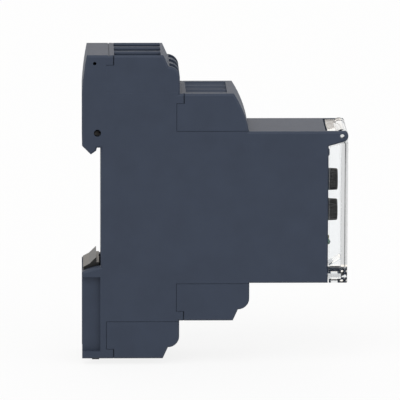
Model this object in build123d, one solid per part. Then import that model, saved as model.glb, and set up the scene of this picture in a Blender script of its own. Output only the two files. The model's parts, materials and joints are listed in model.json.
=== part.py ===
from build123d import *
from math import asin, atan2, cos, degrees, pi, radians, sin, sqrt
import os

# Phase monitoring relay for a 35 mm rail. Millimetres, +X out of the front, +Z up.
# X = 0 is the face that seats on the rail, Y = 0 is mid-width, Z = 0 is the rail's centre line.

# Overall outline
module_width = 22.5
rear_tier_height = 90.0
front_tier_gap = 0.3
nose_gap = 0.2
rear_tier_front = 22.95
front_tier_front = 43.4
nose_front = 66.3
cover_depth = 5.7
wall = 1.5
edge_bevel = 0.55

# Rail and the two hooks that hold it
rail_width = 35.0
rail_thickness = 1.0
rail_clearance = 0.25
rail_play = 0.1
hook_depth = 5.42
hook_tip_depth = 2.85
hook_overlap = 1.75
hook_lead = 0.2
hook_lead_drop = 0.6
rear_lean = 1.45
rear_lean_height = 11.5
rear_bulge_depth = 0.22
foot_ledge_depth = 1.4
foot_ledge_drop = 0.2
foot_slope_drop = 1.6
foot_groove_drop = 3.1
foot_floor = 2.2

# Rounded corners of the terminal tiers and the sloping front of the blank cap
corner_radius = 3.3
corner_drop = 3.3
corner_run = 1.5
cap_front_run = 4.5
cap_bulge = 0.6

# Terminal blocks and the places cut for them in the case
block_height = 11.0
block_shoulder = 2.2
block_shoulder_drop = 2.9
rear_block_back = 1.7
parting_gap = 0.12
shoulder_gap = 0.3
seam_depth = 0.8
bay_count = 3
slot_width = 5.4
slot_funnel = 0.5
slot_front_margin = 5.55
split_width = 0.3
split_depth = 0.6
rib_split_width = 0.5
rib_split_depth = 2.0

# Clamp cages, contact bars and terminal screws
screw_drop = 6.7
screw_radius = 1.5
screw_head_radius = 2.35
screw_head_length = 1.9
screw_slot_width = 0.8
screw_slot_depth = 0.9
screw_shoulder = 0.8
shaft_clearance = 0.05
screw_hole_clearance = 0.3
cage_back_wall = 0.9
cage_front_wall = 1.6
cage_side_wall = 0.7
cage_width = 5.2
cage_height = 5.0
moving_clearance = 0.3
wire_gap = 3.2
bar_thickness = 0.8
bar_width = 3.2
bar_tail_height = 1.5
bar_tail_pitch = 2.1
bar_board_depth = 1.4
board_edge_margin = 0.6
bar_stub_gap = 0.2

# Blank cap recess
cap_recess_back = 0.4
cap_recess_front = 1.9
cap_recess_depth = 0.15
cap_recess_side = 2.25
cap_scoop_radius = 5.2
cap_scoop_depth = 0.9

# Boards, posts and what stands on the boards
power_board_gap = 1.55
board_thickness = 1.6
board_front_gap = 0.3
board_back_gap = 1.5
board_nose_gap = 0.4
post_radius = 2.0
post_hole_depth = 4.0
post_pin_radius = 0.9
post_pin_length = 3.6
rear_post_x = 6.2
rear_post_drop = 10.0
nose_post_x = 47.0
nose_post_drop = 5.1
board_hole_clearance = 0.15
relay_end_room = 16.0
relay_width = 12.6
relay_side_gap = 0.65
relay_gap = 1.3
relay_back = 13.5
can_radius = 3.5
can_height = 11.5
can_x = 48.0
can_rise = 0.2
film_length = 12.0
film_share = 0.16
film_height = 6.0
film_x = 49.6
film_fall = 0.15
varistor_radius = 3.5
varistor_thickness = 3.2
varistor_x = 53.9
varistor_drop = 6.9
resistor_radius = 1.2
resistor_length = 4.6
resistor_gap = 0.4
resistor_x = 49.0
connector_width = 4.0
connector_height = 9.0
connector_fall = 0.15
chip_width = 7.0
chip_thickness = 1.1

# Front panel, dials, button and lamps
panel_thickness = 1.5
panel_clearance = 0.15
panel_step_drop = 4.9
panel_step_back = 1.1
dial_gap = 2.4495
button_dial_gap = 2.7965
dial_radius = 3.3
dial_tip_radius = 3.15
dial_height = 3.1
dial_rib_count = 18
dial_groove_radius = 0.3
dial_slot_width = 0.9
dial_slot_depth = 0.8
dial_shaft_radius = 1.5
dial_root = 1.3
front_board_thickness = 1.2
front_board_gap = 3.6
front_board_bottom_gap = 1.5
front_board_top_gap = 4.5
pot_thickness = 3.2
pot_width = 9.2
pot_gap = 0.5
pot_collar_radius = 2.4
button_step_gap = 0.245
button_radius = 1.2
button_proud = 0.75
button_travel = 0.4
button_flange_radius = 1.9
button_flange_thickness = 0.6
button_stem = 1.3
switch_width = 3.6
switch_height = 1.0
switch_plunger_radius = 0.8
lamp_share = 0.4105
lamp_y = 3.4
lamp_radius = 0.9
lamp_proud = 1.05
led_height = 0.8

# Clear cover, its hinge and the seal lug
ear_radius = 1.8
ear_height = 4.4
hinge_drop = 1.4
hinge_notch_back = 0.9
cover_wall = 1.0
cover_front_wall = 1.8
cover_inset = 0.1
cover_corner = 0.7
flap_reach = 4.25
flap_thickness = 1.2
pin_radius = 0.6
pin_short = 0.15
latch_width = 3.0
latch_clearance = 0.4
latch_block_depth = 1.3
latch_block_height = 2.6
latch_arm_thickness = 1.05
latch_ring_radius = 1.1
latch_hole_radius = 0.6
latch_window_rise = 3.1
shelf_thickness = 0.8
shelf_low = 2.6
shelf_rise = 2.4

# Rail clip and its spring
clip_side_wall = 3.25
clip_back_inset = 0.32
clip_front_gap = 0.4
clip_head_drop = 6.8
clip_plate_depth = 3.8
clip_tip_depth = 1.25
clip_tip_rise = 2.3
clip_notch_rise = 0.7
clip_slope_mid = 3.3
clip_slope_drop = 3.0
clip_floor_gap = 0.6
clip_tab_width = 8.0
clip_tab_depth = 2.1
clip_tab_drop = 1.8
clip_tab_slot = 4.4
clip_tab_slot_height = 1.2
clip_travel = 3.5
guide_rib_depth = 0.8
guide_rib_thickness = 1.0
guide_rib_back = 2.7
guide_rib_drop = 8.5
guide_rib_foot = 5.0
window_width = 6.0
window_drop = 7.5
window_foot = 7.0
peg_width = 4.8
peg_thickness = 1.5
peg_gap = 0.5
spring_radius = 1.7
spring_wire_radius = 0.3
spring_turns = 6
spring_end_gap = 0.1

# Small round holes in both side walls
upper_hole_depth = 1.74
upper_hole_drop = 2.4
upper_hole_radius = 0.5
hook_hole_depth = 0.96
hook_hole_rise = 4.35
hook_hole_radius = 1.05
top_line_x = 2.4
top_line_width = 0.25

# Places worked out from the sizes above
half_width = module_width / 2
side_in = half_width - wall
rear_top = rear_tier_height / 2
block_base = rear_top - block_height
front_top = block_base - front_tier_gap
tier_step = rear_top - front_top
nose_top = front_top - block_height - nose_gap
nose_height = 2 * nose_top
rail_edge = rail_width / 2
notch_top = rail_edge + rail_clearance
rail_slot = rail_thickness + rail_play
rear_lean_start = rear_top - rear_lean_height
front_block_shift = front_tier_front - rear_tier_front
front_block_back = rear_block_back + front_block_shift
cover_front = nose_front + cover_depth
hinge_x = cover_front - ear_radius
hinge_z = nose_top - hinge_drop
ear_root_z = nose_top - ear_height
panel_back = nose_front - panel_thickness
panel_step_z = nose_top - panel_step_drop
screw_z = rear_top - screw_drop
cavity_back = rear_block_back + block_shoulder
cage_back = cavity_back + moving_clearance
bar_back = cage_back + cage_back_wall + wire_gap
bar_front = bar_back + bar_thickness
cage_front = bar_front + moving_clearance + cage_front_wall
cage_travel = wire_gap - moving_clearance
cavity_front = cage_front + cage_travel + moving_clearance
head_seat = cavity_front + screw_shoulder
cavity_top = screw_z + cage_height / 2 + moving_clearance
board_far = side_in - power_board_gap
board_near = board_far - board_thickness
front_board_front = panel_back - front_board_gap
front_board_back = front_board_front - front_board_thickness
relay_length = nose_height - relay_end_room
relay_height = board_near + side_in - relay_side_gap
film_width = nose_height * film_share
button_z = panel_step_z - panel_step_back - button_step_gap - button_flange_radius
dial_z = button_z - button_flange_radius - button_dial_gap - dial_radius
dial_pitch = 2 * dial_radius + dial_gap
dial_low = dial_z - dial_pitch - dial_radius
lug_top = latch_block_height - nose_top
pot_height = dial_pitch - pot_gap
lamp_z = dial_low + lamp_share * (lug_top - dial_low)
clip_width = module_width - 2 * clip_side_wall
channel_half = clip_width / 2 + moving_clearance
guide_rib_top = rail_edge + guide_rib_drop
guide_rib_bottom = rear_top - guide_rib_foot
window_top = rail_edge + window_drop
window_bottom = rear_top - window_foot
bay_pitch = module_width / bay_count
bays = [bay_pitch * (n - (bay_count - 1) / 2) for n in range(bay_count)]
rear_post_z = block_base - rear_post_drop
nose_post_z = nose_top - nose_post_drop
upper_posts = [(rear_post_x, rear_post_z), (nose_post_x, nose_post_z)]
posts = upper_posts + [(x, -z) for x, z in upper_posts]


def span(x, y, z):
    """A box from its two limits along each axis."""
    corner = Pos(min(x), min(y), min(z))
    return corner * Box(abs(x[1] - x[0]), abs(y[1] - y[0]), abs(z[1] - z[0]), align=(Align.MIN,) * 3)


def rod_x(x, y, z, radius):
    """A round bar along X between two depths."""
    bar = Cylinder(radius, abs(x[1] - x[0]), align=(Align.CENTER, Align.CENTER, Align.MIN))
    return Pos(min(x), y, z) * Rot(0, 90, 0) * bar


def rod_y(x, y, z, radius):
    """A round bar along Y between two widths."""
    bar = Cylinder(radius, abs(y[1] - y[0]), align=(Align.CENTER, Align.CENTER, Align.MIN))
    return Pos(x, min(y), z) * Rot(-90, 0, 0) * bar


def prism(outline, y):
    """A closed side outline made solid between two widths."""
    return Pos(0, min(y), 0) * extrude(make_face(outline.edges()), abs(y[1] - y[0]), dir=(0, 1, 0))


def slab(points, y):
    """A side outline of straight lines made solid between two widths."""
    return prism(Polyline(*[(x, 0, z) for x, z in points], close=True), y)


def path(*points):
    """Straight lines of a side outline, one after another."""
    return Polyline(*[(x, 0, z) for x, z in points])


def bend(x, z, radius, start, end):
    """An arc of a side outline about a centre, between two angles."""
    angles = [radians(start), radians((start + end) / 2), radians(end)]
    return ThreePointArc(*[(x + radius * cos(a), 0, z + radius * sin(a)) for a in angles])


def swell(start, end, rise):
    """A gently bulging edge between two points of a side outline, to the left of its direction."""
    run, climb = end[0] - start[0], end[1] - start[1]
    length = sqrt(run * run + climb * climb)
    middle_x = (start[0] + end[0]) / 2 - rise * climb / length
    middle_z = (start[1] + end[1]) / 2 + rise * run / length
    return ThreePointArc((start[0], 0, start[1]), (middle_x, 0, middle_z), (end[0], 0, end[1]))


def ear_tangent():
    """Where the ear's sloping lower edge meets its round end, and the edge's slope in degrees."""
    run, climb = hinge_x - nose_front, hinge_z - ear_root_z
    reach = sqrt(run * run + climb * climb)
    slope = atan2(climb, run) - asin(ear_radius / reach)
    length = sqrt(reach * reach - ear_radius * ear_radius)
    return nose_front + length * cos(slope), ear_root_z + length * sin(slope), degrees(slope)


def tier_corner(front, top, side):
    """The slant and the rounded front corner of a terminal tier, above or below the rail line."""
    centre_x, centre_z = front - corner_radius, top - corner_drop - corner_radius
    slant_start = (centre_x - corner_run, top)
    slant_end = (centre_x, top - corner_drop)
    slant = path((slant_start[0], side * slant_start[1]), (slant_end[0], side * slant_end[1]))
    return slant + bend(centre_x, side * centre_z, corner_radius, side * 90, 0), slant_start[0], centre_z


def case_outline():
    """The whole side outline, from the top of the rail side round by the foot, the nose and back."""
    rear_x = rear_lean - hook_depth
    tip = (-hook_tip_depth, rail_edge - hook_overlap)
    rear = swell((rear_x, rear_top), (-hook_depth, rear_lean_start), -rear_bulge_depth)
    lower_rear, slant_x, corner_z = tier_corner(rear_tier_front, rear_top, -1)
    rail_side = path(
        (-hook_depth, rear_lean_start),
        (-hook_depth, tip[1] + hook_depth - hook_tip_depth),
        tip,
        (-rail_slot - hook_lead, rail_edge - hook_lead_drop),
        (-rail_slot, notch_top),
        (0, notch_top),
        (0, -rail_edge - parting_gap),
        (-foot_ledge_depth, -rail_edge - parting_gap - foot_ledge_drop),
        (-hook_depth, -rail_edge - foot_slope_drop),
        (-hook_depth, -rear_top),
        (slant_x, -rear_top),
    )
    lower_front, step_x, step_z = tier_corner(front_tier_front, front_top, -1)
    lower_step = path((rear_tier_front, -corner_z), (rear_tier_front, -front_top), (step_x, -front_top))
    meet_x, meet_z, slope = ear_tangent()
    nose = path(
        (front_tier_front, -step_z),
        (front_tier_front, -nose_top),
        (nose_front, -nose_top),
        (nose_front, ear_root_z),
        (meet_x, meet_z),
    )
    round_top = degrees(asin((nose_top - hinge_z) / ear_radius))
    ear = bend(hinge_x, hinge_z, ear_radius, slope - 90, round_top)
    cap_foot = (front_tier_front - cap_bulge / 2, nose_top)
    cap_edge = (cap_foot[0] - cap_front_run, front_top)
    nose_line = path((hinge_x + ear_radius * cos(radians(round_top)), nose_top), cap_foot)
    cap_front = swell(cap_foot, cap_edge, -cap_bulge)
    upper_rear, slant_x, corner_z = tier_corner(rear_tier_front, rear_top, 1)
    upper_step = path(cap_edge, (rear_tier_front, front_top), (rear_tier_front, corner_z))
    top_line = path((slant_x, rear_top), (rear_x, rear_top))
    lower = rear + rail_side + lower_rear + lower_step + lower_front + nose
    return lower + ear + nose_line + cap_front + upper_step + upper_rear + top_line


def outer_form():
    """The outside of the whole housing, with its bevelled side edges."""
    straight = half_width - edge_bevel
    form = prism(case_outline(), (-straight, straight))
    by_width = form.faces().sort_by(Axis.Y)
    for face, side in ((by_width[0], -1), (by_width[-1], 1)):
        form += extrude(face, edge_bevel, dir=(0, side, 0), taper=45)
    return form


def corner_place(back, base, top, front, gap=0.0, step_gap=0.0):
    """The stepped place of a terminal block or the blank cap, through the whole width."""
    step_x, step_z = back + block_shoulder - step_gap, top - block_shoulder_drop + gap
    low, rear = base - gap, back - gap
    above, beyond = top + wall, front + wall
    points = [(rear, low), (beyond, low), (beyond, above), (step_x, above), (step_x, step_z), (rear, step_z)]
    return slab(points, (-half_width - wall, half_width + wall))


def block_places(gap=0.0, step_gap=0.0):
    """The four places cut from the case: the upper rear, lower rear and lower front blocks and the cap."""
    rear = corner_place(rear_block_back, block_base, rear_top, rear_tier_front, gap, step_gap)
    front_base = block_base - tier_step
    front = corner_place(front_block_back, front_base, front_top, front_tier_front, gap, step_gap)
    flip = Rot(180, 0, 0)
    return [rear, flip * rear, flip * front, front]


def seams():
    """Open seams round the blocks in both side walls; the upper rear one shows at its shoulder alone."""
    seam_in = half_width - seam_depth
    x, z = (-hook_depth, cover_front), (-rear_top - wall, rear_top + wall)
    sides = [span(x, (side * seam_in, side * (half_width + wall)), z) for side in (1, -1)]
    shoulder = span(x, (-half_width, half_width), (rear_top - block_shoulder_drop - parting_gap, z[1]))
    upper, *others = block_places(parting_gap, shoulder_gap)
    places = [upper & shoulder] + others
    return [place & side for place in places for side in sides]


def inner_space():
    """The hollow of the case, open at the front where the panel and the cover's hinge go."""
    notch_x = nose_front - hinge_notch_back
    beyond = cover_front + wall
    rear_x = rear_lean - hook_depth + wall
    return slab(
        [
            (wall - hook_depth, notch_top + wall),
            (wall - hook_depth, rear_lean_start),
            (rear_x, rear_top - wall),
            (rear_tier_front - wall, rear_top - wall),
            (rear_tier_front - wall, front_top - wall),
            (front_tier_front - wall, front_top - wall),
            (front_tier_front - wall, nose_top - wall),
            (notch_x, nose_top - wall),
            (notch_x, nose_top + wall),
            (beyond, nose_top + wall),
            (beyond, wall - nose_top),
            (front_tier_front - wall, wall - nose_top),
            (front_tier_front - wall, wall - front_top),
            (rear_tier_front - wall, wall - front_top),
            (rear_tier_front - wall, wall - rear_top),
            (wall, wall - rear_top),
            (wall, notch_top + wall),
        ],
        (-side_in, side_in),
    )


def side_cuts():
    """The holes through both side walls, the foot's side grooves and the line across the top."""
    through = (-half_width - wall, half_width + wall)
    cuts = [rod_y(-upper_hole_depth, through, rear_top - upper_hole_drop, upper_hole_radius)]
    cuts.append(rod_y(-hook_hole_depth, through, notch_top + hook_hole_rise, hook_hole_radius))
    cuts.append(rod_y(hinge_x, through, hinge_z, pin_radius + shaft_clearance))
    groove_z = (-rail_edge - foot_groove_drop, foot_floor - rear_top)
    groove_x = (-hook_depth - wall, -parting_gap)
    for side in (1, -1):
        cuts.append(span(groove_x, (side * side_in, side * (half_width + wall)), groove_z))
    line_x = (top_line_x - top_line_width / 2, top_line_x + top_line_width / 2)
    cuts.append(span(line_x, through, (rear_top - top_line_width, rear_top + wall)))
    return cuts


def clip_channel():
    """The channel behind the foot that the rail clip slides in."""
    z = (-rear_top - wall, hook_overlap - rail_edge)
    return span((-hook_depth - wall, 0), (-channel_half, channel_half), z)


def guide_ribs():
    """Two ribs that stand in the clip's side grooves, and the peg that its spring stands on."""
    rib_x = (-guide_rib_back, guide_rib_thickness - guide_rib_back)
    rib_z = (-guide_rib_bottom, -guide_rib_top)
    rib_in = channel_half - guide_rib_depth
    ribs = [span(rib_x, (side * rib_in, side * side_in), rib_z) for side in (1, -1)]
    peg_x = (clip_back_inset - hook_depth + wall, wall / 2)
    peg_low = peg_gap - window_bottom
    ribs.append(span(peg_x, (-peg_width / 2, peg_width / 2), (peg_low, peg_low + peg_thickness)))
    return ribs


def lid_zone():
    """The slice of the housing beyond the parting plane between shell and lid."""
    x = (-hook_depth - wall, cover_front + wall)
    return span(x, (side_in, half_width + wall), (-rear_top - wall, rear_top + wall))


def case_shell(form):
    """Near side wall and all outer walls, with four posts that take the lid's pins."""
    shell = form - lid_zone() - inner_space() - clip_channel()
    shell = shell - side_cuts() - block_places() - seams()
    shell = shell + guide_ribs()
    for x, z in posts:
        shell += rod_y(x, (-side_in - wall / 2, side_in), z, post_radius)
        shell -= rod_y(x, (side_in - post_hole_depth, side_in), z, post_pin_radius + shaft_clearance)
    return shell


def case_lid(form):
    """Far side plate with its hinge ear and four locating pins."""
    lid = (form & lid_zone()) - side_cuts() - block_places() - seams()
    for x, z in posts:
        lid += rod_y(x, (side_in - post_pin_length, side_in + wall / 2), z, post_pin_radius)
    return lid


def wire_slot(y):
    """One wire slot in the block's top, with its sloping mouth."""
    half, mouth, low = slot_width / 2, slot_width / 2 + slot_funnel, cavity_top - parting_gap
    top, above = rear_top, rear_top + wall
    points = [(-half, low), (half, low), (half, top - slot_funnel), (mouth, top), (mouth, above)]
    outline = points + [(-py, pz) for py, pz in reversed(points[2:])]
    face = make_face(Polyline(*[(0, y + py, pz) for py, pz in outline], close=True).edges())
    start, end = cavity_back, rear_tier_front - slot_front_margin
    return Pos(start, 0, 0) * extrude(face, end - start, dir=(1, 0, 0))


def screw_bay(y):
    """One screwdriver bay: a bore to the screw head, open upwards through the rounded corner."""
    radius = screw_head_radius + shaft_clearance
    beyond = rear_tier_front + wall
    bore = rod_x((head_seat, beyond), y, screw_z, radius)
    neck_x = (cavity_front - parting_gap, head_seat + parting_gap)
    neck = rod_x(neck_x, y, screw_z, screw_radius + screw_hole_clearance)
    mouth_x = (rear_tier_front - corner_radius + shoulder_gap, beyond)
    return [bore, neck, span(mouth_x, (y - radius, y + radius), (screw_z, rear_top + wall))]


def terminal_block(form):
    """Block with a cage cavity, a wire slot and a screw bay for each terminal."""
    block = form & corner_place(rear_block_back, block_base, rear_top, rear_tier_front)
    cavity_half = cage_width / 2 + moving_clearance
    for y in bays:
        cavity_z = (block_base - wall, cavity_top)
        block -= span((cavity_back, cavity_front), (y - cavity_half, y + cavity_half), cavity_z)
        block = block - wire_slot(y) - screw_bay(y)
    for left, right in zip(bays, bays[1:]):
        middle = (left + right) / 2
        top_split = (middle - split_width / 2, middle + split_width / 2)
        rib_split = (middle - rib_split_width / 2, middle + rib_split_width / 2)
        slot_end = rear_tier_front - slot_front_margin
        block -= span((rear_block_back, slot_end), top_split, (rear_top - split_depth, rear_top + wall))
        front_x = (rear_tier_front - rib_split_depth, rear_tier_front + wall)
        block -= span(front_x, rib_split, (block_base + wall, rear_top + wall))
    return block


def clamp_cage(y):
    """Cage that the screw draws forward, with its window for the wire and the contact bar."""
    z = (screw_z - cage_height / 2, screw_z + cage_height / 2)
    cage = span((cage_back, cage_front), (y - cage_width / 2, y + cage_width / 2), z)
    window_x = (cage_back + cage_back_wall, cage_front - cage_front_wall)
    window_half = cage_width / 2 - cage_side_wall
    cage -= span(window_x, (y - window_half, y + window_half), (z[0] - wall, z[1] + wall))
    hole_x = (window_x[1] - parting_gap, cage_front + wall)
    return cage - rod_x(hole_x, y, screw_z, screw_radius + shaft_clearance)


def terminal_screw(y):
    """Captive clamp screw with a slotted head."""
    head_x = head_seat + shaft_clearance
    head_end = head_x + screw_head_length
    screw = rod_x((bar_front + moving_clearance, head_x + parting_gap), y, screw_z, screw_radius)
    screw += rod_x((head_x, head_end), y, screw_z, screw_head_radius)
    slot_half = screw_slot_width / 2
    slot_x = (head_end - screw_slot_depth, head_end + wall)
    slot_y = (y - screw_head_radius - wall, y + screw_head_radius + wall)
    return screw - span(slot_x, slot_y, (screw_z - slot_half, screw_z + slot_half))


def contact_bar(y, steps):
    """Flat bar from a clamp down beside the power board, bent across to reach the board's face."""
    half = bar_width / 2
    x = (bar_back, bar_front)
    top = cavity_top - moving_clearance
    board_edge = block_base - board_edge_margin
    low = board_edge - bar_board_depth - steps * bar_tail_pitch
    if steps:
        tail = span(x, (y, board_near), (low, low + bar_tail_height))
        return span(x, (y - half, y + half), (low, top)) + tail
    stub = board_edge + bar_stub_gap
    return span(x, (y - half, y + half), (stub, top)) + span(x, (y - half, board_near), (low, top))


def blank_cap(form):
    """Hollow cap in the upper front place, with three shallow scoops where terminals would be."""
    base = block_base - tier_step
    cap = form & corner_place(front_block_back, base, front_top, front_tier_front)
    roof = front_top - cap_recess_depth - cap_scoop_depth - wall
    step = front_block_back + block_shoulder + wall
    front = front_tier_front - cap_bulge - 2 * wall
    hollow = [
        (front_block_back + wall, base - wall),
        (front, base - wall),
        (front - cap_front_run + wall, roof),
        (step, roof),
        (step, front_top - block_shoulder_drop - wall),
        (front_block_back + wall, front_top - block_shoulder_drop - wall),
    ]
    cap -= slab(hollow, (-side_in, side_in))
    start = front_block_back + block_shoulder + cap_recess_back
    end = front_tier_front - cap_front_run - cap_recess_front - cap_bulge / 2
    half = half_width - cap_recess_side
    floor = front_top - cap_recess_depth
    cap -= span((start, end), (-half, half), (floor, front_top + wall))
    pitch = 2 * half / bay_count
    for y in (-pitch, 0, pitch):
        centre = floor - cap_scoop_depth + cap_scoop_radius
        scoop = rod_x((start, end), y, centre, cap_scoop_radius)
        cap -= scoop & span((start, end), (y - pitch / 2, y + pitch / 2), (floor - wall, front_top + wall))
    return cap


def power_board():
    """Main circuit board beside the lid, with clearance holes for the case posts."""
    edge = block_base - board_edge_margin
    middle = edge - tier_step
    nose = nose_top - wall - board_nose_gap
    back, front = wall + board_back_gap, front_board_back - board_front_gap
    step_x, nose_x = rear_tier_front - wall - board_nose_gap, front_tier_front - wall - board_nose_gap
    upper = [(back, edge), (step_x, edge), (step_x, middle), (nose_x, middle), (nose_x, nose), (front, nose)]
    board = slab(upper + [(x, -z) for x, z in reversed(upper)], (board_near, board_far))
    through = (board_near - wall, board_far + wall)
    return board - [rod_y(x, through, z, post_radius + board_hole_clearance) for x, z in posts]


def output_relay(place):
    """Sealed relay on the power board, one solid with bevelled edges."""
    back = relay_back + place * (relay_width + relay_gap)
    y = (board_near - relay_height, board_near)
    body = span((back, back + relay_width), y, (-relay_length / 2, relay_length / 2))
    return chamfer(body.faces().sort_by(Axis.Y)[0].edges(), wall / 3)


def smoothing_capacitor():
    """Electrolytic can standing on the power board, with a pressed groove near its foot."""
    can_z = nose_height * can_rise
    can = rod_y(can_x, (board_near - can_height, board_near), can_z, can_radius)
    foot = board_near - wall
    ring = rod_y(can_x, (foot - wall / 3, foot), can_z, can_radius + wall)
    ring -= rod_y(can_x, (foot - wall, foot + wall), can_z, can_radius - wall / 5)
    return can - ring


def film_capacitor():
    """Boxed film capacitor on the power board."""
    x = (film_x - film_length / 2, film_x + film_length / 2)
    film_z = -nose_height * film_fall
    z = (film_z - film_width / 2, film_z + film_width / 2)
    body = span(x, (board_near - film_height, board_near), z)
    return fillet(body.faces().sort_by(Axis.Y)[0].edges(), wall / 3)


def varistor():
    """Round coated disc standing on its edge on the power board."""
    x = (varistor_x - varistor_thickness / 2, varistor_x + varistor_thickness / 2)
    return rod_x(x, board_near - varistor_radius, nose_top - varistor_drop, varistor_radius)


def measuring_resistors():
    """Three resistors in a row on the power board."""
    row = []
    for place in range(bay_count):
        x = resistor_x + place * (2 * resistor_radius + resistor_gap)
        body = Cylinder(resistor_radius, resistor_length)
        row.append(Pos(x, board_near - resistor_radius, 0) * body)
    return Compound(children=row)


def board_connector():
    """Pin header housing between the power board and the front board."""
    x = (front_board_back - connector_width, front_board_back)
    connector_z = -nose_height * connector_fall
    z = (connector_z - connector_height / 2, connector_z + connector_height / 2)
    return span(x, (board_near - connector_width, board_near), z)


def controller_chip():
    """Controller on the rear face of the front board."""
    x = (front_board_back - chip_thickness, front_board_back)
    return span(x, (-chip_width, 0), (-chip_width / 2, chip_width / 2))


def front_board():
    """Board across the nose that carries the dials' potentiometers."""
    half = side_in - board_front_gap
    bottom = wall + front_board_bottom_gap - nose_top
    top = nose_top - wall - front_board_top_gap
    return span((front_board_back, front_board_front), (-half, half), (bottom, top))


def potentiometer(z):
    """Potentiometer body with a collar round its bore."""
    x = (front_board_front, front_board_front + pot_thickness - wall / 2)
    body = span(x, (-pot_width / 2, pot_width / 2), (z - pot_height / 2, z + pot_height / 2))
    body += rod_x((front_board_front, front_board_front + pot_thickness), 0, z, pot_collar_radius)
    return body - rod_x((front_board_front - wall, panel_back), 0, z, dial_shaft_radius + shaft_clearance)


def dial(z):
    """Ribbed adjusting dial with a pointer slot and a short shaft."""
    root, tip = panel_back + moving_clearance, nose_front + dial_height
    skirt_end = nose_front + dial_root
    knob = rod_x((root, skirt_end), 0, z, dial_radius)
    ends = (Align.CENTER, Align.CENTER, Align.MIN)
    crown = Cone(dial_radius, dial_tip_radius, tip - skirt_end, align=ends)
    knob += Pos(skirt_end, 0, z) * Rot(0, 90, 0) * crown
    knob += rod_x((front_board_front + moving_clearance, root + parting_gap), 0, z, dial_shaft_radius)
    for n in range(dial_rib_count):
        angle = 2 * pi * (n + 0.5) / dial_rib_count
        y, dz = dial_radius * cos(angle), dial_radius * sin(angle)
        knob -= rod_x((nose_front + wall / 3, tip + wall), y, z + dz, dial_groove_radius)
    half, reach = dial_slot_width / 2, dial_radius + wall
    return knob - span((tip - dial_slot_depth, tip + wall), (-reach, reach), (z - half, z + half))


def front_panel():
    """Front panel set in the nose, with its openings and the seal lug below."""
    half = side_in - panel_clearance
    top = nose_top - wall - panel_clearance
    step_front = nose_front - panel_step_back
    step_back = step_front - panel_thickness
    outline = [
        (panel_back, -top),
        (nose_front, -top),
        (nose_front, panel_step_z),
        (step_front, panel_step_z + panel_step_back),
        (step_front, top),
        (step_back, top),
        (step_back, panel_step_z),
        (panel_back, panel_step_z - panel_step_back),
    ]
    panel = slab(outline, (-half, half))
    through = (panel_back - wall, nose_front + wall)
    for z in (dial_z, dial_z - dial_pitch):
        panel -= rod_x(through, 0, z, dial_radius + moving_clearance)
    panel -= rod_x(through, 0, button_z, button_radius + shaft_clearance)
    for y in (-lamp_y, lamp_y):
        panel -= rod_x(through, y, lamp_z, lamp_radius + shaft_clearance)
    return panel + seal_lug()


def seal_lug():
    """Lug under the panel that stands through the cover and takes a seal wire."""
    y = (-latch_width / 2, latch_width / 2)
    low, high = cover_inset - nose_top, lug_top
    ring_x = cover_front - parting_gap - latch_ring_radius
    ring_z = high - latch_ring_radius
    lug = span((nose_front, nose_front + latch_block_depth), y, (low, high))
    lug += span((nose_front - parting_gap, nose_front), y, (wall - nose_top + panel_clearance, high))
    arm_top = high - parting_gap
    lug += span((nose_front, ring_x), y, (arm_top - latch_arm_thickness, arm_top))
    lug += rod_y(ring_x, y, ring_z, latch_ring_radius)
    lug += span((ring_x - latch_ring_radius, ring_x), y, (low, ring_z))
    return lug - rod_y(ring_x, (-latch_width, latch_width), ring_z, latch_hole_radius)


def test_button():
    """Push button held behind the panel by its flange."""
    flange_front = panel_back - moving_clearance
    flange_back = flange_front - button_flange_thickness
    button = rod_x((flange_front - parting_gap, nose_front + button_proud), 0, button_z, button_radius)
    button = chamfer(button.faces().sort_by(Axis.X)[-1].edges(), button_radius / 4)
    button += rod_x((flange_back, flange_front), 0, button_z, button_flange_radius)
    stem_x = (flange_back - button_stem + parting_gap, flange_back + parting_gap)
    return button + rod_x(stem_x, 0, button_z, button_radius)


def test_switch():
    """Small press switch under the test button."""
    half = switch_width / 2
    base_x = front_board_front + switch_height
    body = span((front_board_front, base_x), (-half, half), (button_z - half, button_z + half))
    stem_end = panel_back - moving_clearance - button_flange_thickness - button_stem + parting_gap
    plunger_x = (front_board_front, stem_end - button_travel - parting_gap)
    return body + rod_x(plunger_x, 0, button_z, switch_plunger_radius)


def light_pipe(y):
    """Clear pipe with a domed end that shows a lamp on the front board."""
    dome_x = nose_front + lamp_proud - lamp_radius
    pipe = rod_x((front_board_front + led_height + parting_gap, dome_x), y, lamp_z, lamp_radius)
    return pipe + (Pos(dome_x, y, lamp_z) * Sphere(lamp_radius))


def lamp_chip(y):
    """Lamp chip on the front board behind its light pipe."""
    half = lamp_radius - parting_gap
    x = (front_board_front, front_board_front + led_height)
    return span(x, (y - half, y + half), (lamp_z - half, lamp_z + half))


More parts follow.
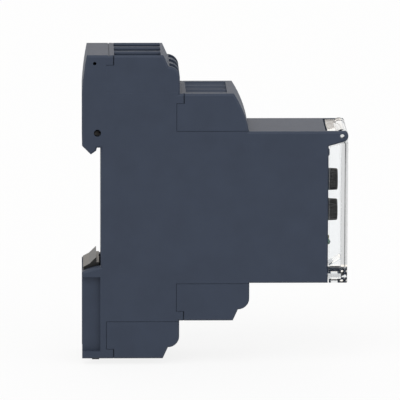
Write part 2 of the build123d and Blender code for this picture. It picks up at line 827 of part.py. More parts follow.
def cover_tray():
    """The cover's walls: front, two sides, bottom and the sloping shelf over the seal lug."""
    half = half_width - cover_inset
    back, inner = nose_front + moving_clearance, cover_front - cover_front_wall
    low = cover_inset - nose_top
    meet_x, meet_z, slope = ear_tangent()
    drop = moving_clearance / cos(radians(slope))
    back_top = ear_root_z + (back - nose_front) * sin(radians(slope)) - drop
    front_top_z = hinge_z - ear_radius - moving_clearance
    front_edge = [(cover_front, low), (cover_front, front_top_z), (inner, front_top_z)]
    tray = slab([(back, low)] + front_edge + [(back, back_top)], (-half, half))
    outer = tray.faces().sort_by(Axis.X)[-1].edges().filter_by(Axis.Z)
    tray = fillet(outer, cover_corner)
    side_gap = half - cover_wall
    tray -= span((back - wall, inner), (-side_gap, side_gap), (low + cover_wall, hinge_z + wall))
    shelf_back = (back, lug_top + shelf_low - shelf_rise + parting_gap)
    shelf_front = (inner + parting_gap, shelf_back[1] + shelf_rise)
    shelf_top = [(x, z + shelf_thickness) for x, z in (shelf_front, shelf_back)]
    tray += slab([shelf_back, shelf_front] + shelf_top, (-half + cover_wall / 2, half - cover_wall / 2))
    window = latch_width / 2 + latch_clearance
    window_x, window_z = (back - wall, cover_front + wall), (low - wall, low + latch_window_rise)
    return tray - span(window_x, (-window, window), window_z)


def front_cover():
    """Clear cover that turns on two stub pins between the case's ears."""
    cover = cover_tray()
    reach = side_in - moving_clearance
    inner = cover_front - cover_front_wall
    low = hinge_z - ear_radius - moving_clearance - wall
    cover += span((inner, cover_front), (-reach, reach), (low, hinge_z))
    cover += rod_y(hinge_x, (-reach, reach), hinge_z, ear_radius)
    flap_top = nose_top - cover_inset
    cover += span((hinge_x - flap_reach, hinge_x), (-reach, reach), (flap_top - flap_thickness, flap_top))
    pin_end = half_width - pin_short
    return cover + rod_y(hinge_x, (-pin_end, pin_end), hinge_z, pin_radius)


def clip_side():
    """Side outline of the rail clip: the jaw, the notch for the rail's edge, the plate and the tab."""
    back, front = clip_back_inset - hook_depth, -clip_front_gap
    plate_back = front - clip_plate_depth
    notch_z = clip_notch_rise - rail_edge
    head_low = -rail_edge - clip_head_drop + clip_tip_rise
    floor = clip_floor_gap - rear_top
    tab_back = front - clip_tab_depth
    jaw_mid = (-clip_slope_mid, clip_tip_rise - clip_slope_mid + clip_tip_depth - rail_edge)
    return [
        (-clip_tip_depth, clip_tip_rise - rail_edge),
        (-clip_tip_depth, notch_z),
        (front, notch_z),
        (front, floor),
        (plate_back, floor),
        (plate_back, head_low),
        (back, head_low),
        (back, clip_tip_rise - clip_slope_drop - rail_edge),
        jaw_mid,
    ]


def rail_clip():
    """Sprung slider with a jaw above, a spring window, two side grooves and a pull tab below."""
    clip = slab(clip_side(), (-clip_width / 2, clip_width / 2))
    front = -clip_front_gap
    tab_z = (-rear_top - clip_tab_drop, clip_floor_gap - rear_top + parting_gap)
    clip += span((front - clip_tab_depth, front), (-clip_tab_width / 2, clip_tab_width / 2), tab_z)
    slot_z = (tab_z[0] + clip_floor_gap, tab_z[0] + clip_floor_gap + clip_tab_slot_height)
    clip -= span((front - clip_plate_depth - wall, wall), (-clip_tab_slot / 2, clip_tab_slot / 2), slot_z)
    clip -= span((-hook_depth, wall), (-window_width / 2, window_width / 2), (-window_bottom, -window_top))
    groove_x = (-guide_rib_back - moving_clearance, guide_rib_thickness + moving_clearance - guide_rib_back)
    groove_z = (-guide_rib_bottom - moving_clearance, clip_travel + moving_clearance - guide_rib_top)
    for side in (1, -1):
        groove_y = (side * (channel_half - guide_rib_depth - moving_clearance), side * channel_half)
        clip -= span(groove_x, groove_y, groove_z)
    return clip


def clip_spring():
    """Coil spring that pushes the clip up from the case's peg."""
    low = peg_gap - window_bottom + peg_thickness + spring_wire_radius
    high = -window_top - spring_wire_radius - spring_end_gap
    x = -clip_front_gap - clip_plate_depth / 2
    coil = Helix((high - low) / spring_turns, high - low, spring_radius, center=(x, 0, low))
    end = Plane(coil @ 0, z_dir=coil % 0)
    return sweep(end * Circle(spring_wire_radius), path=coil)


def build():
    """Every sub-part under its own name."""
    form = outer_form()
    block = terminal_block(form)
    lower = Rot(180, 0, 0)
    step = Pos(front_block_shift, 0, tier_step)
    places = {"upper_rear": (Pos(0, 0, 0), 1), "lower_rear": (Pos(0, 0, 0), -1), "lower_front": (step, -1)}
    parts = {
        "case_shell": case_shell(form),
        "case_lid": case_lid(form),
        "blank_cap": blank_cap(form),
        "front_panel": front_panel(),
        "front_cover": front_cover(),
        "upper_dial": dial(dial_z),
        "lower_dial": dial(dial_z - dial_pitch),
        "upper_potentiometer": potentiometer(dial_z),
        "lower_potentiometer": potentiometer(dial_z - dial_pitch),
        "test_button": test_button(),
        "test_switch": test_switch(),
        "power_light_pipe": light_pipe(-lamp_y),
        "output_light_pipe": light_pipe(lamp_y),
        "power_lamp": lamp_chip(-lamp_y),
        "output_lamp": lamp_chip(lamp_y),
        "front_board": front_board(),
        "power_board": power_board(),
        "first_output_relay": output_relay(0),
        "second_output_relay": output_relay(1),
        "smoothing_capacitor": smoothing_capacitor(),
        "film_capacitor": film_capacitor(),
        "varistor": varistor(),
        "measuring_resistors": measuring_resistors(),
        "board_connector": board_connector(),
        "controller_chip": controller_chip(),
        "rail_clip": rail_clip(),
        "clip_spring": clip_spring(),
    }
    for name, (move, side) in places.items():
        turn = Pos(0, 0, 0) if side > 0 else lower
        parts[name + "_block"] = move * turn * block
        for n, y in enumerate(bays):
            place = f"{name}_{n + 1}"
            bar = contact_bar(y, bay_count - 1 - n)
            parts["bar_" + place] = move * (bar if side > 0 else mirror(bar, about=Plane.XY))
            parts["cage_" + place] = move * turn * clamp_cage(side * y)
            parts["screw_" + place] = move * turn * terminal_screw(side * y)
    return parts


os.makedirs("parts", exist_ok=True)
for name, solid in build().items():
    export_step(solid, f"parts/{name}.step")
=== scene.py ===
import bmesh
import bpy
import json
from math import cos, pi, radians, sin
from mathutils import Matrix, Quaternion, Vector


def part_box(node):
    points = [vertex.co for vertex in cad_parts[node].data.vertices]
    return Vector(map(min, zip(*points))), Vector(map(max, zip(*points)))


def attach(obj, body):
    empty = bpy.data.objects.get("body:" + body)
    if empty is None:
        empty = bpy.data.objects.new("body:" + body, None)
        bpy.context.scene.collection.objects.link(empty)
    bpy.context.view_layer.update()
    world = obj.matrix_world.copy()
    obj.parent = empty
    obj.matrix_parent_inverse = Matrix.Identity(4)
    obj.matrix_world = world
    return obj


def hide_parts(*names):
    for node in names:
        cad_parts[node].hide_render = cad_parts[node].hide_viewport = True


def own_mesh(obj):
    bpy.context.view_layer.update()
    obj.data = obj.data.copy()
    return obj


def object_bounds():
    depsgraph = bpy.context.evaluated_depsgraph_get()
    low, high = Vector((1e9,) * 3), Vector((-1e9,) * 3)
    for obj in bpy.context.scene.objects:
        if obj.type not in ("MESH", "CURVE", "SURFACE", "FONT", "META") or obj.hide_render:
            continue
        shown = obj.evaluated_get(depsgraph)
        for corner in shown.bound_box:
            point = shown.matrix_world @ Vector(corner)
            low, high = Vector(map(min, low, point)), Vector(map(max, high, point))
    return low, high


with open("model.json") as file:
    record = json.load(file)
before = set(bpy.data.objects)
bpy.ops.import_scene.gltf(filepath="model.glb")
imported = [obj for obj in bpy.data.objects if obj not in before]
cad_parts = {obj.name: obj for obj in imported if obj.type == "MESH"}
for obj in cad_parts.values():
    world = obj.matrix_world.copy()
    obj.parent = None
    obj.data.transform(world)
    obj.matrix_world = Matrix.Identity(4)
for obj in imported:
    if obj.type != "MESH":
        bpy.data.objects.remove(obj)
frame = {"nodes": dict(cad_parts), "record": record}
cad_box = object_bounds()
MM = 0.001


# Materials

def new_material(name):
    """An empty node material with its Principled shader."""
    mat = bpy.data.materials.new(name)
    mat.use_nodes = True
    tree = mat.node_tree
    return mat, tree, tree.nodes["Principled BSDF"]


def place_texture(tree, kind, scale, **settings):
    """A procedural texture in the part's own coordinates, with its scale in features per metre."""
    coords = tree.nodes.new("ShaderNodeTexCoord")
    texture = tree.nodes.new(kind)
    tree.links.new(coords.outputs["Object"], texture.inputs["Vector"])
    texture.inputs["Scale"].default_value = scale
    for name, value in settings.items():
        texture.inputs[name].default_value = value
    return texture


def ramp(tree, source, stops):
    """A colour ramp over a texture's value."""
    node = tree.nodes.new("ShaderNodeValToRGB")
    elements = node.color_ramp.elements
    elements[0].position, elements[0].color = stops[0][0], (*stops[0][1], 1)
    elements[1].position, elements[1].color = stops[-1][0], (*stops[-1][1], 1)
    for position, color in stops[1:-1]:
        elements.new(position).color = (*color, 1)
    tree.links.new(source, node.inputs["Fac"])
    return node.outputs["Color"]


def value_range(tree, source, low, high):
    """A texture's value spread between two numbers."""
    node = tree.nodes.new("ShaderNodeMapRange")
    node.inputs["To Min"].default_value = low
    node.inputs["To Max"].default_value = high
    tree.links.new(source, node.inputs["Value"])
    return node.outputs["Result"]


def bump(tree, shader, source, strength, depth, rounding=None):
    """Relief from a texture, with its depth in metres, on softly rounded edges where they are given."""
    node = tree.nodes.new("ShaderNodeBump")
    node.inputs["Strength"].default_value = strength
    node.inputs["Distance"].default_value = depth
    tree.links.new(source, node.inputs["Height"])
    tree.links.new(node.outputs["Normal"], shader.inputs["Normal"])
    if rounding:
        tree.links.new(rounding, node.inputs["Normal"])
    return node


def round_edges(tree, radius):
    """The surface's direction with every edge softly rounded."""
    node = tree.nodes.new("ShaderNodeBevel")
    node.samples = 4
    node.inputs["Radius"].default_value = radius
    return node.outputs["Normal"]


def rub_edges(tree, color, rounding, light):
    """The colour, made paler where an edge turns: a painted highlight along the edges."""
    shape = tree.nodes.new("ShaderNodeNewGeometry")
    turn = tree.nodes.new("ShaderNodeVectorMath")
    turn.operation = "DOT_PRODUCT"
    tree.links.new(rounding, turn.inputs[0])
    tree.links.new(shape.outputs["Normal"], turn.inputs[1])
    share = tree.nodes.new("ShaderNodeMapRange")
    share.inputs["From Min"].default_value = 0.995
    share.inputs["From Max"].default_value = 0.85
    share.inputs["To Max"].default_value = 0.45
    tree.links.new(turn.outputs["Value"], share.inputs["Value"])
    mix = tree.nodes.new("ShaderNodeMix")
    mix.data_type = "RGBA"
    tree.links.new(share.outputs["Result"], mix.inputs["Factor"])
    tree.links.new(color, mix.inputs["A"])
    mix.inputs["B"].default_value = (*light, 1)
    return mix.outputs["Result"]


def shade(color, factor):
    """A colour made lighter or darker."""
    return tuple(min(1.0, c * factor) for c in color)


def moulded(name, color, grain, rough, relief, variation=0.06, gloss=0.5):
    """Moulded plastic with a fine spark texture, soft clouds of colour, uneven gloss and a painted
    highlight on its edges.
    """
    mat, tree, shader = new_material(name)
    shader.inputs["Specular IOR Level"].default_value = gloss
    clouds = place_texture(tree, "ShaderNodeTexNoise", 140, Detail=5)
    stops = [(0.3, shade(color, 1 - variation)), (0.5, color), (0.72, shade(color, 1 + variation))]
    rounding = round_edges(tree, 0.15 * MM)
    body = ramp(tree, clouds.outputs["Fac"], stops)
    # the paler edges are a painted highlight, standing in for light caught on rounded edges
    tree.links.new(rub_edges(tree, body, rounding, shade(color, 1.9)), shader.inputs["Base Color"])
    spark = place_texture(tree, "ShaderNodeTexNoise", 1 / grain, Detail=3, Roughness=0.6)
    gloss_range = value_range(tree, spark.outputs["Fac"], rough - 0.06, rough + 0.08)
    tree.links.new(gloss_range, shader.inputs["Roughness"])
    bump(tree, shader, spark.outputs["Fac"], 0.5, relief, rounding)
    return mat


def clear(name, color, rough, density):
    """Clear moulded plastic with very faint flow marks, greyer where it is looked through edge on."""
    mat, tree, shader = new_material(name)
    shader.inputs["Transmission Weight"].default_value = 1.0
    shader.inputs["IOR"].default_value = CLEAR_IOR
    shader.inputs["Specular IOR Level"].default_value = 0.3
    depth = tree.nodes.new("ShaderNodeVolumeAbsorption")
    depth.inputs["Color"].default_value = (*shade(color, 0.4), 1)
    depth.inputs["Density"].default_value = density
    tree.links.new(depth.outputs["Volume"], tree.nodes["Material Output"].inputs["Volume"])
    flow = place_texture(tree, "ShaderNodeTexNoise", 90, Detail=2)
    stops = [(0.3, shade(color, 0.985)), (0.7, color)]
    tree.links.new(ramp(tree, flow.outputs["Fac"], stops), shader.inputs["Base Color"])
    tree.links.new(value_range(tree, flow.outputs["Fac"], rough, rough + 0.02), shader.inputs["Roughness"])
    bump(tree, shader, flow.outputs["Fac"], 0.15, 0.03 * MM)
    return mat


def metal(name, color, rough, scratch_scale):
    """Plated or rolled metal with fine drawn lines and cloudy gloss."""
    mat, tree, shader = new_material(name)
    shader.inputs["Metallic"].default_value = 1.0
    lines = place_texture(tree, "ShaderNodeTexNoise", scratch_scale, Detail=6, Distortion=0.3)
    clouds = place_texture(tree, "ShaderNodeTexNoise", 500, Detail=3)
    stops = [(0.25, shade(color, 0.82)), (0.6, color), (0.85, shade(color, 1.1))]
    tree.links.new(ramp(tree, clouds.outputs["Fac"], stops), shader.inputs["Base Color"])
    gloss_range = value_range(tree, lines.outputs["Fac"], rough - 0.08, rough + 0.12)
    tree.links.new(gloss_range, shader.inputs["Roughness"])
    bump(tree, shader, lines.outputs["Fac"], 0.3, 0.02 * MM)
    return mat


def laminate(name):
    """Green lacquered board with lighter copper runs under the lacquer."""
    mat, tree, shader = new_material(name)
    cells = place_texture(tree, "ShaderNodeTexBrick", 260)
    cells.inputs["Color1"].default_value = (0.012, 0.095, 0.035, 1)
    cells.inputs["Color2"].default_value = (0.016, 0.12, 0.045, 1)
    cells.inputs["Mortar"].default_value = (0.03, 0.19, 0.07, 1)
    cells.inputs["Mortar Size"].default_value = 0.06
    tree.links.new(cells.outputs["Color"], shader.inputs["Base Color"])
    weave = place_texture(tree, "ShaderNodeTexNoise", 2500, Detail=2)
    tree.links.new(value_range(tree, weave.outputs["Fac"], 0.22, 0.38), shader.inputs["Roughness"])
    bump(tree, shader, cells.outputs["Fac"], 0.3, 0.03 * MM)
    return mat


CASE = (0.037, 0.0485, 0.075)
CLEAR_IOR = 1.18
looks = {
    "case_plastic": moulded("case_plastic", CASE, 0.35 * MM, 0.52, 0.035 * MM, gloss=0.2),
    "dial_plastic": moulded("dial_plastic", (0.011, 0.011, 0.0107), 0.3 * MM, 0.5, 0.02 * MM, gloss=0.4),
    "clip_plastic": moulded("clip_plastic", (0.007, 0.007, 0.007), 0.4 * MM, 0.38, 0.02 * MM, gloss=0.35),
    "component_plastic": moulded("component_plastic", (0.02, 0.02, 0.021), 0.25 * MM, 0.45, 0.02 * MM),
    "relay_plastic": moulded("relay_plastic", (0.62, 0.6, 0.55), 0.3 * MM, 0.4, 0.02 * MM),
    "film_capacitor_box": moulded("film_capacitor_box", (0.55, 0.36, 0.05), 0.3 * MM, 0.4, 0.02 * MM),
    "varistor_coat": moulded("varistor_coat", (0.03, 0.09, 0.33), 0.8 * MM, 0.25, 0.05 * MM),
    "resistor_coat": moulded("resistor_coat", (0.3, 0.46, 0.5), 0.6 * MM, 0.3, 0.03 * MM),
    "lamp_body": moulded("lamp_body", (0.8, 0.8, 0.74), 0.2 * MM, 0.35, 0.01 * MM),
    "capacitor_can": moulded("capacitor_can", (0.03, 0.03, 0.07), 0.9 * MM, 0.28, 0.01 * MM),
    "clear_plastic": clear("clear_plastic", (0.97, 0.98, 0.985), 0.03, 25),
    "light_pipe_green": clear("light_pipe_green", (0.4, 0.9, 0.55), 0.12, 200),
    "light_pipe_yellow": clear("light_pipe_yellow", (0.98, 0.88, 0.35), 0.12, 200),
    "board_laminate": laminate("board_laminate"),
    "contact_brass": metal("contact_brass", (0.72, 0.55, 0.3), 0.3, 4000),
    "plated_steel": metal("plated_steel", (0.6, 0.59, 0.55), 0.34, 5000),
    "screw_steel": metal("screw_steel", (0.66, 0.66, 0.64), 0.28, 6000),
    "spring_steel": metal("spring_steel", (0.55, 0.55, 0.55), 0.25, 7000),
}
slots = {entry["node"]: entry["material_slot"] for entry in frame["record"]["subparts"]}
for node, obj in frame["nodes"].items():
    obj.data.materials.clear()
    obj.data.materials.append(looks[slots[node]])


# Detailed pieces

def piece_from(name, mesh, look, body, replaced=(), smooth_to=35):
    """A finished piece with its material, riding on its body."""
    mesh.name = name
    mesh.materials.clear()
    mesh.materials.append(looks[look])
    mesh.polygons.foreach_set("use_smooth", [True] * len(mesh.polygons))
    mesh.set_sharp_from_angle(angle=radians(smooth_to))
    piece = bpy.data.objects.new(name, mesh)
    bpy.context.scene.collection.objects.link(piece)
    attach(piece, body)
    if replaced:
        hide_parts(*replaced)
    return piece


def mesh_of(bm):
    """A mesh from finished mesh code, in metres from millimetres."""
    bmesh.ops.recalc_face_normals(bm, faces=bm.faces)
    bmesh.ops.scale(bm, vec=(MM, MM, MM), verts=bm.verts)
    mesh = bpy.data.meshes.new("shape")
    bm.to_mesh(mesh)
    bm.free()
    return mesh


def joined_mesh(meshes):
    """Several meshes as one."""
    form = bmesh.new()
    for mesh in meshes:
        form.from_mesh(mesh)
    joined = bpy.data.meshes.new("joined")
    form.to_mesh(joined)
    form.free()
    return joined


def skin(stations, count, place):
    """Rings of points, one at each station, joined and closed at both ends."""
    form = bmesh.new()
    turns = [2 * pi * n / count for n in range(count)]
    loops = [[form.verts.new(place(station, turn)) for turn in turns] for station in stations]
    for low, high in zip(loops, loops[1:]):
        for n in range(count):
            m = (n + 1) % count
            form.faces.new((low[n], low[m], high[m], high[n]))
    form.faces.new(list(reversed(loops[0])))
    form.faces.new(loops[-1])
    return mesh_of(form)


def circle(radius, angle):
    """A point on a circle about the origin."""
    return radius * cos(angle), radius * sin(angle)


def with_modifier(mesh, kind, **settings):
    """The mesh as one modifier leaves it."""
    obj = bpy.data.objects.new("part", mesh)
    bpy.context.scene.collection.objects.link(obj)
    modifier = obj.modifiers.new("change", kind)
    for name, value in settings.items():
        setattr(modifier, name, value)
    depsgraph = bpy.context.evaluated_depsgraph_get()
    result = bpy.data.meshes.new_from_object(obj.evaluated_get(depsgraph))
    bpy.data.objects.remove(obj)
    return result


def combine(mesh, other, operation):
    """The mesh joined with another form, or with that form taken out."""
    tool = bpy.data.objects.new("tool", other)
    bpy.context.scene.collection.objects.link(tool)
    result = with_modifier(mesh, "BOOLEAN", operation=operation, solver="EXACT", object=tool)
    bpy.data.objects.remove(tool)
    return result


def carve(mesh, cutter):
    """The mesh with the cutter's form taken out."""
    return combine(mesh, cutter, "DIFFERENCE")


def box_mesh(x, y, z):
    """A closed box between two corners."""
    form = bmesh.new()
    verts = [form.verts.new((a, b, c)) for a in x for b in y for c in z]
    for face in ((0, 1, 3, 2), (4, 6, 7, 5), (0, 4, 5, 1), (2, 3, 7, 6), (0, 2, 6, 4), (1, 5, 7, 3)):
        form.faces.new([verts[n] for n in face])
    return mesh_of(form)


def drawn_mesh(outline, direction, start, end):
    """A flat outline made solid along X, Y or Z, its points given along the other two."""
    form = bmesh.new()
    turned = {
        "X": lambda a, b, t: (t, a, b),
        "Y": lambda a, b, t: (a, t, b),
        "Z": lambda a, b, t: (a, b, t),
    }[direction]
    low = [form.verts.new(turned(a, b, start)) for a, b in outline]
    high = [form.verts.new(turned(a, b, end)) for a, b in outline]
    form.faces.new(low)
    form.faces.new(high)
    for n in range(len(outline)):
        m = (n + 1) % len(outline)
        form.faces.new((low[n], low[m], high[m], high[n]))
    return mesh_of(form)


def round_bar(x, z, radius, half_width, count=48):
    """A round bar across the width."""
    points = [circle(radius, 2 * pi * n / count) for n in range(count)]
    outline = [(x + a, z + b) for a, b in points]
    return drawn_mesh(outline, "Y", -half_width, half_width)


# Terminal screws, each with a rolled thread, a rounded head and a slot with a cross in it

THREAD_PITCH = 0.5
THREAD_DEPTH = 0.3
THREAD_END = 13.6
SHANK_RADIUS, NECK_RADIUS, POINT_RADIUS = 1.5, 1.3, 1.0
SHANK = (9.4, 15.07)
HEAD = (15.05, 16.95)
HEAD_RADIUS = 2.33
SCREW_SLOT_DEPTH, SCREW_SLOT_HALF = 0.85, 0.4
CROSS_DEPTH, CROSS_REACH, CROSS_HALF = 1.35, 1.45, 0.36


def thread_point(x, angle):
    """A point on the screw's threaded shank, with its pointed start and its plain neck."""
    tooth = abs(2 * ((x / THREAD_PITCH - angle / (2 * pi)) % 1) - 1)
    radius = SHANK_RADIUS - THREAD_DEPTH * min(1, max(0, 1.5 * tooth - 0.25))
    radius = min(radius, POINT_RADIUS + 1.1 * (x - SHANK[0]))
    if x > THREAD_END:
        radius = NECK_RADIUS
    return x, *circle(radius, angle)


def cross_mesh():
    """The cutter for the head's cross, two wedges that narrow towards their depth."""
    form = bmesh.new()
    levels = ((HEAD[1] - CROSS_DEPTH, 0.42), (HEAD[1] + 0.2, 1.06))
    for half_y, half_z in ((CROSS_REACH, CROSS_HALF), (CROSS_HALF, CROSS_REACH)):
        rings = []
        for depth, share in levels:
            reach_y = half_y * share if half_y > half_z else half_y
            reach_z = half_z * share if half_z > half_y else half_z
            corners = [(-reach_y, -reach_z), (reach_y, -reach_z), (reach_y, reach_z), (-reach_y, reach_z)]
            rings.append([form.verts.new((depth, y, z)) for y, z in corners])
        foot, top = rings
        for n in range(4):
            m = (n + 1) % 4
            form.faces.new((foot[n], foot[m], top[m], top[n]))
        form.faces.new(list(reversed(foot)))
        form.faces.new(top)
    return mesh_of(form)


def screw_mesh():
    """One terminal screw about the X direction, at the depth of the rear terminals."""
    length = SHANK[1] - SHANK[0]
    steps = int(length / THREAD_PITCH * 10)
    shank = skin([SHANK[0] + length * n / steps for n in range(steps + 1)], 40, thread_point)
    low, high = HEAD
    outline = [(low, 2.2), (low + 0.12, HEAD_RADIUS), (high - 0.42, HEAD_RADIUS), (high - 0.26, 2.26),
               (high - 0.12, 2.1), (high - 0.04, 1.85), (high, 1.5), (high, 0.6)]
    head = skin(outline, 64, lambda station, angle: (station[0], *circle(station[1], angle)))
    slot = box_mesh((high - SCREW_SLOT_DEPTH, high + 1), (-3, 3), (-SCREW_SLOT_HALF, SCREW_SLOT_HALF))
    head = carve(carve(head, slot), cross_mesh())
    return joined_mesh([head, shank])


def place_screws():
    """The nine screws in their bays, each left at its own angle."""
    shape = screw_mesh()
    for count, node in enumerate(sorted(n for n in frame["nodes"] if n.startswith("screw_"))):
        low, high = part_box(node)
        mesh = shape.copy()
        shift = Vector((high[0] - HEAD[1] * MM, (low[1] + high[1]) / 2, (low[2] + high[2]) / 2))
        turn = Matrix.Rotation(radians(12 + 47 * count), 4, "X")
        mesh.transform(Matrix.Translation(shift) @ turn)
        piece_from(node + "_detail", mesh, "screw_steel", node, (node,))


# Dials, each with soft ribs, a cross slot and a painted pointer, and the scales printed round them

DIAL_ROOT, DIAL_RIBS, DIAL_TIP = 61.5, 66.8, 69.4
DIAL_SHAFT, DIAL_RADIUS = 1.5, 3.3
RIB_COUNT, RIB_DEPTH = 18, 0.26
SLOT_DEPTH, SLOT_HALF, SLOT_REACH, SLOT_SIDE_REACH = 0.8, 0.45, 2.4, 1.75
PANEL_FRONT = 66.3
DIAL_TURN, TICKS = 280, 11
TICK_START, TICK_HALF = 3.85, 0.09
NUMBER_SIZE, NUMBER_RELIEF = 1.25, 0.02


def dial_point(station, angle):
    """A point on the dial's outside: smooth below, ribbed above, with a small taper."""
    x, radius = station
    if x > DIAL_RIBS - 0.01 and radius > 2.9:
        wave = 0.5 + 0.5 * cos(RIB_COUNT * angle)
        radius -= RIB_DEPTH * wave ** 3 * min(1, max(0, (x - DIAL_RIBS) / 0.15))
    return x, *circle(radius, angle)


def dial_mesh():
    """One dial about the X direction."""
    outline = [(DIAL_ROOT, 1.3), (DIAL_ROOT + 0.2, DIAL_SHAFT), (65.1, DIAL_SHAFT), (65.1, 3.2),
               (65.2, DIAL_RADIUS), (66.75, DIAL_RADIUS), (DIAL_RIBS, DIAL_RADIUS), (66.95, 3.29),
               (67.6, 3.25), (68.3, 3.21), (68.9, 3.18), (69.15, 3.14), (69.3, 3.05), (DIAL_TIP, 2.85),
               (DIAL_TIP, 2.2), (DIAL_TIP - 0.12, 2.05), (DIAL_TIP - 0.12, 1.0)]
    dial = skin(outline, 12 * RIB_COUNT, dial_point)
    across = (-SLOT_HALF, SLOT_HALF)
    dial = carve(dial, box_mesh((DIAL_TIP - SLOT_DEPTH, DIAL_TIP + 1), (-SLOT_REACH, SLOT_REACH), across))
    upright = (-SLOT_SIDE_REACH, SLOT_SIDE_REACH)
    return carve(dial, box_mesh((DIAL_TIP - SLOT_DEPTH - 0.001, DIAL_TIP + 1), across, upright))


def pointer_mesh():
    """The painted pointer on the dial's rim, at its middle setting."""
    outline = [(-0.3, 2.0), (0.3, 2.0), (0.3, 2.72), (0, 2.98), (-0.3, 2.72)]
    return drawn_mesh(outline, "X", DIAL_TIP - 0.15, DIAL_TIP + 0.02)


def setting_angle(step):
    """The turn from the top of a dial to one of its settings."""
    return radians(DIAL_TURN * (step / (TICKS - 1) - 0.5))


def tick_mesh(middle, step):
    """One tick of a scale, longer where it has a number."""
    angle = setting_angle(step)
    end = 4.5 if step % 2 == 0 else 4.2
    corners = [(TICK_START, -TICK_HALF), (TICK_START, TICK_HALF), (end, TICK_HALF), (end, -TICK_HALF)]
    along_y, along_z = sin(angle), cos(angle)
    outline = [(r * along_y + t * along_z, middle + r * along_z - t * along_y) for r, t in corners]
    return drawn_mesh(outline, "X", PANEL_FRONT - 0.02, PANEL_FRONT + 0.03)


def number_mesh(middle, step):
    """One number of a scale, outside its tick."""
    text = bpy.data.curves.new("number", "FONT")
    text.body = str(step)
    text.size = NUMBER_SIZE * MM
    text.extrude = NUMBER_RELIEF * MM
    text.align_x = "CENTER"
    text.align_y = "CENTER"
    holder = bpy.data.objects.new("number", text)
    bpy.context.scene.collection.objects.link(holder)
    depsgraph = bpy.context.evaluated_depsgraph_get()
    drawn = bpy.data.meshes.new_from_object(holder.evaluated_get(depsgraph))
    bpy.data.objects.remove(holder)
    angle = setting_angle(step)
    reach = 5.45 if step in (0, TICKS - 1) else 5.05
    spot = Vector((PANEL_FRONT, reach * sin(angle), middle + reach * cos(angle))) * MM
    face_front = Matrix(((0, 0, 1, 0), (1, 0, 0, 0), (0, 1, 0, 0), (0, 0, 0, 1)))
    drawn.transform(Matrix.Translation(spot) @ face_front)
    return drawn


def scale_mesh(middle):
    """The ticks round a dial, with a number at every other one."""
    ticks = [tick_mesh(middle, step) for step in range(TICKS)]
    return joined_mesh(ticks + [number_mesh(middle, step) for step in range(0, TICKS, 2)])


def place_dials():
    """Both dials with their pointers, and their scales on the panel."""
    for name in ("upper_dial", "lower_dial"):
        low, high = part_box(name)
        middle = (low[2] + high[2]) / 2
        dial = dial_mesh()
        dial.transform(Matrix.Translation((0, 0, middle)))
        piece_from(name + "_knob", dial, "dial_plastic", name, (name,))
        pointer = pointer_mesh()
        pointer.transform(Matrix.Translation((0, 0, middle)))
        piece_from(name + "_pointer", pointer, "relay_plastic", name)
        piece_from(name + "_scale", scale_mesh(middle / MM), "relay_plastic", "module")


# Clear cover, with rounded edges and a short shelf over the seal lug

COVER_FRONT, COVER_INNER, COVER_BACK = 72.0, 70.2, 66.6
COVER_HALF, COVER_LOW, COVER_TOP = 11.15, -22.4, 19.0
COVER_WALL, COVER_CORNER, COVER_EDGE = 1.0, 0.7, 0.12
SIDE_TOP_BACK = 15.8
HINGE = (70.2, 21.1)
BAR_RADIUS, PIN_RADIUS, PIN_HALF = 1.8, 0.6, 11.1
BAR_HALF, BAR_LOW = 9.45, 17.5
FLAP_BACK, FLAP_Z = 65.95, (21.2, 22.4)
SHELF_HALF, SHELF_THICKNESS = 2.9, 0.8
SHELF_BACK_Z, SHELF_FRONT_Z = -19.58, -17.18
WINDOW_HALF, WINDOW_TOP = 1.9, -19.3
OUTSIDE = 100


def cover_mesh():
    """The cover's tray, its hinge bar and flap, and the window for the seal lug."""
    turns = [pi / 2 * n / 12 for n in range(13)]
    centre_x, centre_y = COVER_FRONT - COVER_CORNER, COVER_HALF - COVER_CORNER
    corner = [(centre_x + COVER_CORNER * sin(a), centre_y + COVER_CORNER * cos(a)) for a in turns]
    far_half = [(COVER_BACK, COVER_HALF)] + corner
    plan = far_half + [(x, -y) for x, y in reversed(far_half)]
    side_top = [(60, SIDE_TOP_BACK), (COVER_INNER, COVER_TOP), (COVER_INNER, 30), (60, 30)]
    inside_y = (COVER_WALL - COVER_HALF, COVER_HALF - COVER_WALL)
    shelf_end = COVER_INNER + 0.12
    shelf = [(COVER_BACK, SHELF_BACK_Z), (shelf_end, SHELF_FRONT_Z),
             (shelf_end, SHELF_FRONT_Z + SHELF_THICKNESS), (COVER_BACK, SHELF_BACK_Z + SHELF_THICKNESS)]

    cover = drawn_mesh(plan, "Z", COVER_LOW, COVER_TOP)
    cover = carve(cover, drawn_mesh(side_top, "Y", -OUTSIDE, OUTSIDE))
    cover = carve(cover, box_mesh((60, COVER_INNER), inside_y, (COVER_LOW + COVER_WALL, OUTSIDE)))
    added = [
        box_mesh((COVER_INNER, COVER_FRONT), (-BAR_HALF, BAR_HALF), (BAR_LOW, HINGE[1])),
        round_bar(*HINGE, BAR_RADIUS, BAR_HALF),
        box_mesh((FLAP_BACK, HINGE[0]), (-BAR_HALF, BAR_HALF), FLAP_Z),
        round_bar(*HINGE, PIN_RADIUS, PIN_HALF),
        drawn_mesh(shelf, "Y", -SHELF_HALF, SHELF_HALF),
    ]
    for form in added:
        cover = combine(cover, form, "UNION")
    cover = carve(cover, box_mesh((60, OUTSIDE), (-WINDOW_HALF, WINDOW_HALF), (-OUTSIDE, WINDOW_TOP)))
    sharp = radians(40)
    eased = {"width": COVER_EDGE * MM, "segments": 2, "limit_method": "ANGLE", "angle_limit": sharp}
    return with_modifier(cover, "BEVEL", **eased)


# Clip spring, with a closed coil at each end

SPRING_X, SPRING_LOW, SPRING_HIGH = -2.3, -35.7, -25.4
SPRING_RADIUS, WIRE_RADIUS = 1.7, 0.3
SPRING_TURNS, CLOSED_RISE = 8, 0.63


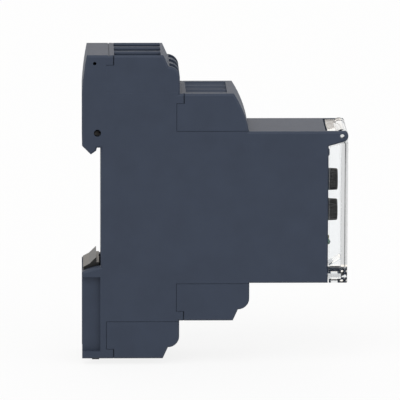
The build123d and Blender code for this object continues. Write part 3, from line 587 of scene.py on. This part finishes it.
def wire_point(turn, angle):
    """A point on the wire's outside, so many turns up from its start."""
    free_rise = SPRING_HIGH - SPRING_LOW - 2 * CLOSED_RISE
    free_share = min(1, max(0, (turn - 1) / (SPRING_TURNS - 2)))
    closed_turns = min(turn, 1) + max(0, turn - SPRING_TURNS + 1)
    height = SPRING_LOW + CLOSED_RISE * closed_turns + free_rise * free_share
    outward = Vector((*circle(1, 2 * pi * turn), 0))
    along = Vector((-outward.y, outward.x, 0.14)).normalized()
    a, b = circle(WIRE_RADIUS, angle)
    return Vector((SPRING_X, 0, height)) + outward * (SPRING_RADIUS + a) + along.cross(outward) * b


def place_spring():
    """The spring on its peg."""
    coil = skin([n / 40 for n in range(SPRING_TURNS * 40 + 1)], 10, wire_point)
    spring = piece_from("clip_spring_coil", coil, "spring_steel", "module", ("clip_spring",))
    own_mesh(spring)


place_screws()
place_dials()
piece_from("front_cover_shell", cover_mesh(), "clear_plastic", "cover", ("front_cover",), smooth_to=10)
place_spring()


# Floor, light and camera

def seen_share(tree):
    """1 for a surface that is looked at, reflected or seen through clear plastic, and 0 otherwise."""
    path = tree.nodes.new("ShaderNodeLightPath")
    share = path.outputs["Is Camera Ray"]
    for ray in ("Is Glossy Ray", "Is Transmission Ray"):
        either = tree.nodes.new("ShaderNodeMath")
        either.operation = "MAXIMUM"
        tree.links.new(share, either.inputs[0])
        tree.links.new(path.outputs[ray], either.inputs[1])
        share = either.outputs[0]
    return share


def backdrop_shader(tree, color, lit_share):
    """White towards the camera and in reflections, plain diffuse for the light it throws."""
    diffuse = tree.nodes.new("ShaderNodeBsdfDiffuse")
    diffuse.inputs["Color"].default_value = (*color, 1)
    glow = tree.nodes.new("ShaderNodeEmission")
    share = tree.nodes.new("ShaderNodeMath")
    share.operation = "MULTIPLY"
    share.inputs[1].default_value = lit_share
    tree.links.new(seen_share(tree), share.inputs[0])
    mix = tree.nodes.new("ShaderNodeMixShader")
    tree.links.new(share.outputs[0], mix.inputs["Fac"])
    tree.links.new(diffuse.outputs[0], mix.inputs[1])
    tree.links.new(glow.outputs[0], mix.inputs[2])
    tree.links.new(mix.outputs[0], tree.nodes["Material Output"].inputs["Surface"])


def make_floor():
    """Pale floor under the lowest point."""
    mesh = bpy.data.meshes.new("floor")
    half = 6.0
    z = cad_box[0][2] - 0.01 * MM
    corners = [(-half, -half, z), (half, -half, z), (half, half, z), (-half, half, z)]
    mesh.from_pydata(corners, [], [(0, 1, 2, 3)])
    floor = bpy.data.objects.new("floor", mesh)
    bpy.context.scene.collection.objects.link(floor)
    mat, tree, shader = new_material("floor")
    tree.nodes.remove(shader)
    backdrop_shader(tree, (0.86, 0.86, 0.86), 0.85)
    mesh.materials.append(mat)


def make_world(light_level):
    """White to look at, and a plain soft level of light."""
    world = bpy.data.worlds.new("studio")
    bpy.context.scene.world = world
    world.use_nodes = True
    tree = world.node_tree
    background = tree.nodes["Background"]
    background.inputs["Color"].default_value = (1, 1, 1, 1)
    level = tree.nodes.new("ShaderNodeMapRange")
    level.inputs["To Min"].default_value = light_level
    level.inputs["To Max"].default_value = 1.0
    tree.links.new(seen_share(tree), level.inputs["Value"])
    tree.links.new(level.outputs["Result"], background.inputs["Strength"])


def sun(name, towards, strength, spread, color=(1, 1, 1)):
    """A soft distant light, given by the direction it comes from."""
    data = bpy.data.lights.new(name, "SUN")
    data.energy = strength
    data.color = color
    data.angle = radians(spread)
    lamp = bpy.data.objects.new(name, data)
    lamp.rotation_euler = Vector(towards).to_track_quat("Z", "Y").to_euler()
    bpy.context.scene.collection.objects.link(lamp)


IMAGE_WIDTH = 400
SENSOR_WIDTH = 36.0


def make_camera(target, azimuth, elevation, roll, distance, pixels_per_mm):
    """Camera at the photo's angle; the target is in the middle of the image."""
    data = bpy.data.cameras.new("camera")
    data.sensor_width = SENSOR_WIDTH
    data.lens = pixels_per_mm * distance / MM / IMAGE_WIDTH * SENSOR_WIDTH
    data.clip_start = 0.05
    data.clip_end = 30.0
    camera = bpy.data.objects.new("camera", data)
    a, e = radians(azimuth), radians(elevation)
    away = Vector((sin(a) * cos(e), -cos(a) * cos(e), sin(e)))
    camera.location = Vector(target) + away * distance
    turn = Quaternion(away, radians(roll)) @ away.to_track_quat("Z", "Y")
    camera.rotation_euler = turn.to_euler()
    bpy.context.scene.collection.objects.link(camera)
    bpy.context.scene.camera = camera


PHOTO_MIDDLE = (28.89 * MM, -11.25 * MM, 2.33 * MM)
make_floor()
make_world(0.72)
sun("key", (-0.25, -0.5, 0.85), 0.95, 40)
sun("back_glow", (-0.1, 0.85, 0.5), 0.25, 50, (1.0, 0.82, 0.6))
sun("front_fill", (0.8, -0.45, 0.5), 0.4, 60)
make_camera(PHOTO_MIDDLE, azimuth=-1.5, elevation=11.3, roll=0.2, distance=1.6, pixels_per_mm=3.436)
bpy.context.scene.view_settings.view_transform = "Standard"
